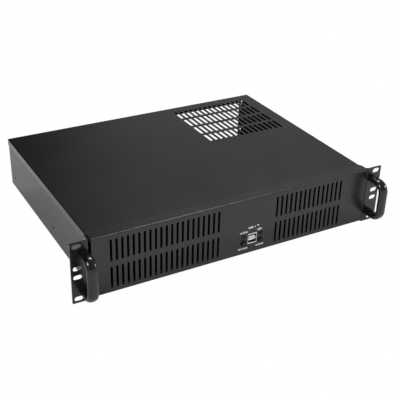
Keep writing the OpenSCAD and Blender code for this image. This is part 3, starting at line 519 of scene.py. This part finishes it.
# Pieces whose finish differs from the rest of their slot's
FINISH_OF_NODE = {
    "base_tray": powder_coated_steel(
        "powder_coated_tray", TRAY_ROUGH, painted_shade_boxes=[TRAY_SHADED_INSIDE],
    ),
    "top_cover": powder_coated_steel("powder_coated_cover", painted_shade_boxes=[COVER_SHADED_CUTS]),
    "front_panel": powder_coated_steel(
        "powder_coated_panel", PANEL_ROUGH, PANEL_SHADED_SIDES, lightened=[PANEL_FOLD_HIGHLIGHT, PANEL_EDGE_LIGHTER],
    ),
    "power_led": smoky_lens("olive_lens", OLIVE_TINT),
}


def finish_nodes():
    """Each of the model's own pieces gets its finish."""
    for row in frame["record"]["subparts"]:
        node = row["node"]
        finish = FINISH_OF_NODE.get(node, FINISH_OF_SLOT[row["material_slot"]])
        materials = NODES[node].data.materials
        materials.clear()
        materials.append(finish)


def add_piece(name, mesh, finish):
    """A piece of that name from its finished mesh."""
    bmesh.ops.recalc_face_normals(mesh, faces=mesh.faces[:])
    data = bpy.data.meshes.new(name)
    mesh.to_mesh(data)
    mesh.free()
    data.materials.append(finish)
    piece = bpy.data.objects.new(name, data)
    bpy.context.collection.objects.link(piece)
    return piece


# Handles, in millimetres: the bar's thickness, its bend at the middle of the bar and its bored
# ends. How square its oval section is: 2 is an ellipse, as the bore's is. How many points a
# ring of the bar has, and how many steps an elbow
BAR_THICK = 9.0
ELBOW_RADIUS = 12.5
END_BORE = 4.0
BORE_DEPTH = 12.0
OVAL_POWER = 2.3
ROUND_POWER = 2
OVAL_POINTS = 48
ELBOW_STEPS = 20


def outward(angle):
    """Which way is outward from the bar's bend, at an angle down from the top."""
    return Vector((0, -math.sin(angle), math.cos(angle)))


def bow_handle(name, node):
    """A cast bow handle that stands for the plain one: an oval bar with two elbows and two
    arms, bored at its ends for the screws."""
    low, high = box_mm(node)
    middle = (low + high) / 2
    half_width, half_bar = (high.x - low.x) / 2, BAR_THICK / 2
    elbow_y = low.y + half_bar + ELBOW_RADIUS
    elbow_z = (high.z - low.z) / 2 - half_bar - ELBOW_RADIUS
    # Where each ring of the bar has its middle, and the angle at which it faces outward
    stations = [(Vector((middle.x, high.y, high.z - half_bar)), 0)]
    for side in (1, -1):
        corner = Vector((middle.x, elbow_y, middle.z + side * elbow_z))
        for step in range(ELBOW_STEPS + 1):
            angle = math.pi / 2 * (step / ELBOW_STEPS + (side < 0))
            stations.append((corner + outward(angle) * ELBOW_RADIUS, angle))
    stations.append((Vector((middle.x, high.y, low.z + half_bar)), math.pi))
    mesh = bmesh.new()

    def ring(place, angle, along, across, power):
        """A ring of points round a place on the bar's middle line."""
        verts = []
        for point in range(OVAL_POINTS):
            turn = math.tau * point / OVAL_POINTS
            cosine, sine = math.cos(turn), math.sin(turn)
            side = math.copysign(abs(cosine) ** (2 / power), cosine) * along
            rise = math.copysign(abs(sine) ** (2 / power), sine) * across
            spot = place + Vector((side, 0, 0)) + outward(angle) * rise
            verts.append(mesh.verts.new(spot * MM))
        return verts

    def join(first, second, smooth):
        """The faces between two rings."""
        for point in range(OVAL_POINTS):
            after = (point + 1) % OVAL_POINTS
            face = mesh.faces.new((first[point], first[after], second[after], second[point]))
            face.smooth = smooth

    rings = [ring(place, angle, half_width, half_bar, OVAL_POWER) for place, angle in stations]
    for first, second in zip(rings, rings[1:]):
        join(first, second, True)
    for outer, (place, angle) in ((rings[0], stations[0]), (rings[-1], stations[-1])):
        depth = Vector((0, BORE_DEPTH, 0))
        mouth = ring(place, angle, END_BORE / 2, END_BORE / 2, ROUND_POWER)
        bottom = ring(place - depth, angle, END_BORE / 2, END_BORE / 2, ROUND_POWER)
        join(outer, mouth, False)
        join(mouth, bottom, False)
        mesh.faces.new(bottom)
        for point in range(OVAL_POINTS):
            mesh.edges.get((outer[point], outer[(point + 1) % OVAL_POINTS])).smooth = False
    piece = add_piece(name, mesh, LACQUERED)
    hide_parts(node)
    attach(piece, "case")


# Printed marks on the front panel, in millimetres: how wide a stroke is, how far the ink
# stands proud of the panel's face and how far it sinks into the coat, half the space between
# two rules, the usual step along a curve in degrees, and how near two corners are one
PRINT_STROKE = 0.75
PRINT_RISE = 0.04
PRINT_SINK = 0.02
HALF_RULE_SPACE = 0.65
PRINT_STEP = 15
SAME_CORNER = 0.001


def stroke(x0, z0, x1, z1):
    """The four corners of a straight stroke."""
    along = Vector((x1 - x0, z1 - z0)).normalized()
    across = Vector((-along.y, along.x)) * PRINT_STROKE / 2
    start, end = Vector((x0, z0)), Vector((x1, z1))
    return [[start - across, start + across], [end - across, end + across]]


def curve(x, z, radius_x, radius_z, start, end):
    """A curved stroke, from one angle to another in degrees."""
    count = max(2, round(abs(end - start) / PRINT_STEP))
    middle = Vector((x, z))
    pairs = []
    for step in range(count + 1):
        angle = math.radians(start + (end - start) * step / count)
        pairs.append([
            middle + Vector((
                math.cos(angle) * (radius_x + half), math.sin(angle) * (radius_z + half),
            ))
            for half in (-PRINT_STROKE / 2, PRINT_STROKE / 2)
        ])
    return pairs


def rules(inner, outer):
    """Two short rules on each side of a mark."""
    return [
        stroke(side * inner, z, side * outer, z)
        for side in (-1, 1) for z in (-HALF_RULE_SPACE, HALF_RULE_SPACE)
    ]


# Each mark: the x and z of its middle, and its strokes from there
MARKS = {
    # A broken ring with a bar: power
    "power_lamp_mark": (7.2, 38.1, [
        curve(0, 0, 1.3, 1.3, 125, 415), stroke(0, 0.2, 0, 1.9), *rules(2.5, 6.1),
    ]),
    # A drum: storage
    "disk_lamp_mark": (32.6, 37.7, [
        curve(0, 1.0, 1.3, 0.6, 0, 360), stroke(-1.3, 0.35, -1.3, -0.9),
        stroke(1.3, 0.35, 1.3, -0.9), curve(0, -1.2, 1.3, 0.6, 190, 350), *rules(2.3, 4.0),
    ]),
    # An outline of the socket, a bar and a ring
    "socket_mark": (18.2, 43.6, [
        stroke(-2.0, 1.1, 2.0, 1.1), stroke(-2.0, -1.1, 2.0, -1.1),
        stroke(-2.3, -1.4, -2.3, 1.4), stroke(2.3, -1.4, 2.3, 1.4),
        stroke(-1.2, 0, 1.2, 0), *rules(3.0, 4.2),
        stroke(6.8, -1.6, 6.8, 1.6), curve(11.4, 1.2, 0.9, 0.9, 0, 360),
    ]),
    # A bar and a ring: on and off
    "power_button_mark": (6.8, 12.6, [
        stroke(-1.6, -1.3, -1.6, 1.3), curve(1.3, 0, 1.1, 1.1, 0, 360), *rules(3.1, 7.6),
    ]),
    # A turning arrow: reset
    "reset_button_mark": (34.0, 12.8, [
        curve(0, 0, 1.2, 1.2, 80, 360), stroke(1.2, 0.2, 0.5, 1.0),
        stroke(1.5, 0.2, 2.1, 0.9), *rules(2.7, 6.4),
    ]),
}


def print_mark(name, x, z, strokes):
    """A mark as a thin solid layer of ink on the front panel's face."""
    face_y = PANEL_LOW.y - PRINT_RISE
    mesh = bmesh.new()
    for pairs in strokes:
        corners = [
            [mesh.verts.new(Vector((x + spot.x, face_y, z + spot.y)) * MM) for spot in pair]
            for pair in pairs
        ]
        for (a, b), (c, d) in zip(corners, corners[1:]):
            mesh.faces.new((a, b, d, c))
    bmesh.ops.remove_doubles(mesh, verts=mesh.verts[:], dist=SAME_CORNER * MM)
    sunk = bmesh.ops.extrude_face_region(mesh, geom=mesh.faces[:])
    moved = [part for part in sunk["geom"] if isinstance(part, bmesh.types.BMVert)]
    bmesh.ops.translate(mesh, verts=moved, vec=(0, (PRINT_RISE + PRINT_SINK) * MM, 0))
    piece = add_piece(name, mesh, INK)
    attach(piece, "case")


# Studio. The floor: its width in metres, how white it looks to the camera and through glass,
# and how white it is mirrored
FLOOR_SPAN = 24.0
FLOOR_SEEN = 0.985
FLOOR_MIRRORED = 0.12

# The room: up to what height its walls are white, from what height the ceiling has its own
# grey, both as the sine of the angle above the floor, and that grey
WALL_TOP = 0.14
CEILING_FROM = 0.28
CEILING = 0.28

# The darker corner, in degrees to the right of +Y: its middle, half its dark width and where
# its shade has ended. How much light is left in it
CORNER_MIDDLE = -18
CORNER_DARK = 34
CORNER_END = 42
CORNER_LEFT = 0.02

# The lamps: where each stands and how wide it is, in metres, and its power in watts. All aim
# at the middle of the case
LAMP_AIM = Vector((0, 0, 0.05))
LAMPS = {
    "left_box": ((-1.20, -0.90, 2.14), 0.80, 34),
    "right_box": ((0.95, 0.95, 2.20), 0.75, 25),
    "side_box": ((2.09, -0.93, 1.02), 0.60, 15),
}


def white_floor():
    """A wide white floor. It looks evenly white, and keeps a soft trace of the shadow."""
    mesh = bpy.data.meshes.new("studio_floor")
    half = FLOOR_SPAN / 2
    corners = [(-half, -half, 0), (half, -half, 0), (half, half, 0), (-half, half, 0)]
    mesh.from_pydata(corners, [], [(0, 1, 2, 3)])
    floor = bpy.data.objects.new("studio_floor", mesh)
    bpy.context.collection.objects.link(floor)
    material, tree = new_material("white_studio_floor")
    path = add_node(tree, "ShaderNodeLightPath").outputs
    straight = add_node(
        tree, "ShaderNodeMath", {0: path["Is Camera Ray"], 1: path["Is Transmission Ray"]},
        operation="MAXIMUM",
    )
    seen = add_node(
        tree, "ShaderNodeMath", {0: straight.outputs[0], 1: FLOOR_SEEN}, operation="MULTIPLY",
    )
    mirrored = add_node(
        tree, "ShaderNodeMath", {0: path["Is Glossy Ray"], 1: FLOOR_MIRRORED},
        operation="MULTIPLY",
    )
    share = add_node(
        tree, "ShaderNodeMath", {0: seen.outputs[0], 1: mirrored.outputs[0]},
        operation="MAXIMUM",
    )
    painted = add_node(tree, "ShaderNodeBsdfDiffuse", {"Color": linear(FLOOR_WHITE)})
    even = add_node(tree, "ShaderNodeEmission", {"Color": WHITE, "Strength": 1.0})
    mix = add_node(
        tree, "ShaderNodeMixShader",
        {"Fac": share.outputs[0], 1: painted.outputs[0], 2: even.outputs[0]},
    )
    add_node(tree, "ShaderNodeOutputMaterial", {"Surface": mix.outputs[0]})
    mesh.materials.append(material)


def studio_world():
    """A room whose walls are pale near the floor and fall off towards a dim ceiling, with a
    darker corner behind the case on its left. To the camera itself it is white."""
    world = bpy.data.worlds.new("studio")
    bpy.context.scene.world = world
    world.use_nodes = True
    tree = world.node_tree
    tree.nodes.clear()
    direction = add_node(tree, "ShaderNodeTexCoord").outputs["Generated"]
    parts = add_node(tree, "ShaderNodeSeparateXYZ", {"Vector": direction}).outputs
    height = add_node(
        tree, "ShaderNodeValToRGB", {"Fac": parts["Z"]},
        stops=((WALL_TOP, WHITE), (CEILING_FROM, (CEILING, CEILING, CEILING, 1))),
    )
    turn = add_node(tree, "ShaderNodeMath", {0: parts["X"], 1: parts["Y"]}, operation="ARCTAN2")
    away = add_node(
        tree, "ShaderNodeMath", {0: turn.outputs[0], 1: math.radians(CORNER_MIDDLE)},
        operation="SUBTRACT",
    )
    away = add_node(tree, "ShaderNodeMath", {0: away.outputs[0]}, operation="ABSOLUTE")
    corner = add_node(
        tree, "ShaderNodeMapRange",
        {
            "Value": away.outputs[0], "From Min": math.radians(CORNER_DARK),
            "From Max": math.radians(CORNER_END), "To Min": CORNER_LEFT, "To Max": 1.0,
        },
    )
    room = add_node(
        tree, "ShaderNodeMixRGB",
        {"Fac": 1.0, "Color1": height.outputs["Color"], "Color2": corner.outputs["Result"]},
        blend_type="MULTIPLY",
    )
    path = add_node(tree, "ShaderNodeLightPath")
    seen = add_node(
        tree, "ShaderNodeMixRGB",
        {
            "Fac": path.outputs["Is Camera Ray"], "Color1": room.outputs["Color"],
            "Color2": WHITE,
        },
    )
    background = add_node(
        tree, "ShaderNodeBackground", {"Color": seen.outputs["Color"], "Strength": 1.0},
    )
    add_node(tree, "ShaderNodeOutputWorld", {"Surface": background.outputs[0]})


def soft_lamp(name, place, width, power):
    """A square soft box, aimed at the middle of the case."""
    data = bpy.data.lights.new(name, "AREA")
    data.shape = "SQUARE"
    data.size = width
    data.energy = power
    lamp = bpy.data.objects.new(name, data)
    lamp.location = place
    lamp.rotation_euler = (LAMP_AIM - Vector(place)).to_track_quat("-Z", "Y").to_euler()
    bpy.context.collection.objects.link(lamp)


def photo_camera():
    """The camera, at the photograph's place and angle."""
    forward = Vector((
        math.sin(CAMERA_YAW) * math.cos(CAMERA_PITCH),
        math.cos(CAMERA_YAW) * math.cos(CAMERA_PITCH),
        -math.sin(CAMERA_PITCH),
    ))
    level = Vector((math.cos(CAMERA_YAW), -math.sin(CAMERA_YAW), 0))
    upright = level.cross(forward)
    right = level * math.cos(CAMERA_ROLL) + upright * math.sin(CAMERA_ROLL)
    up = upright * math.cos(CAMERA_ROLL) - level * math.sin(CAMERA_ROLL)
    data = bpy.data.cameras.new("camera")
    data.lens = CAMERA_LENS
    data.sensor_width = SENSOR
    data.clip_start = CLIP_NEAR
    data.clip_end = CLIP_FAR
    camera = bpy.data.objects.new("camera", data)
    turn = Matrix((right, up, -forward)).transposed().to_4x4()
    camera.matrix_world = Matrix.Translation(CAMERA_PLACE) @ turn
    bpy.context.collection.objects.link(camera)
    bpy.context.scene.camera = camera


photo_camera()
finish_nodes()
bow_handle("bow_handle_left", "handle_left")
bow_handle("bow_handle_right", "handle_right")
for mark, (mark_x, mark_z, mark_strokes) in MARKS.items():
    print_mark(mark, mark_x, mark_z, mark_strokes)
white_floor()
studio_world()
for lamp_name, (lamp_place, lamp_width, lamp_power) in LAMPS.items():
    soft_lamp(lamp_name, lamp_place, lamp_width, lamp_power)

bpy.context.scene.view_settings.view_transform = "Standard"
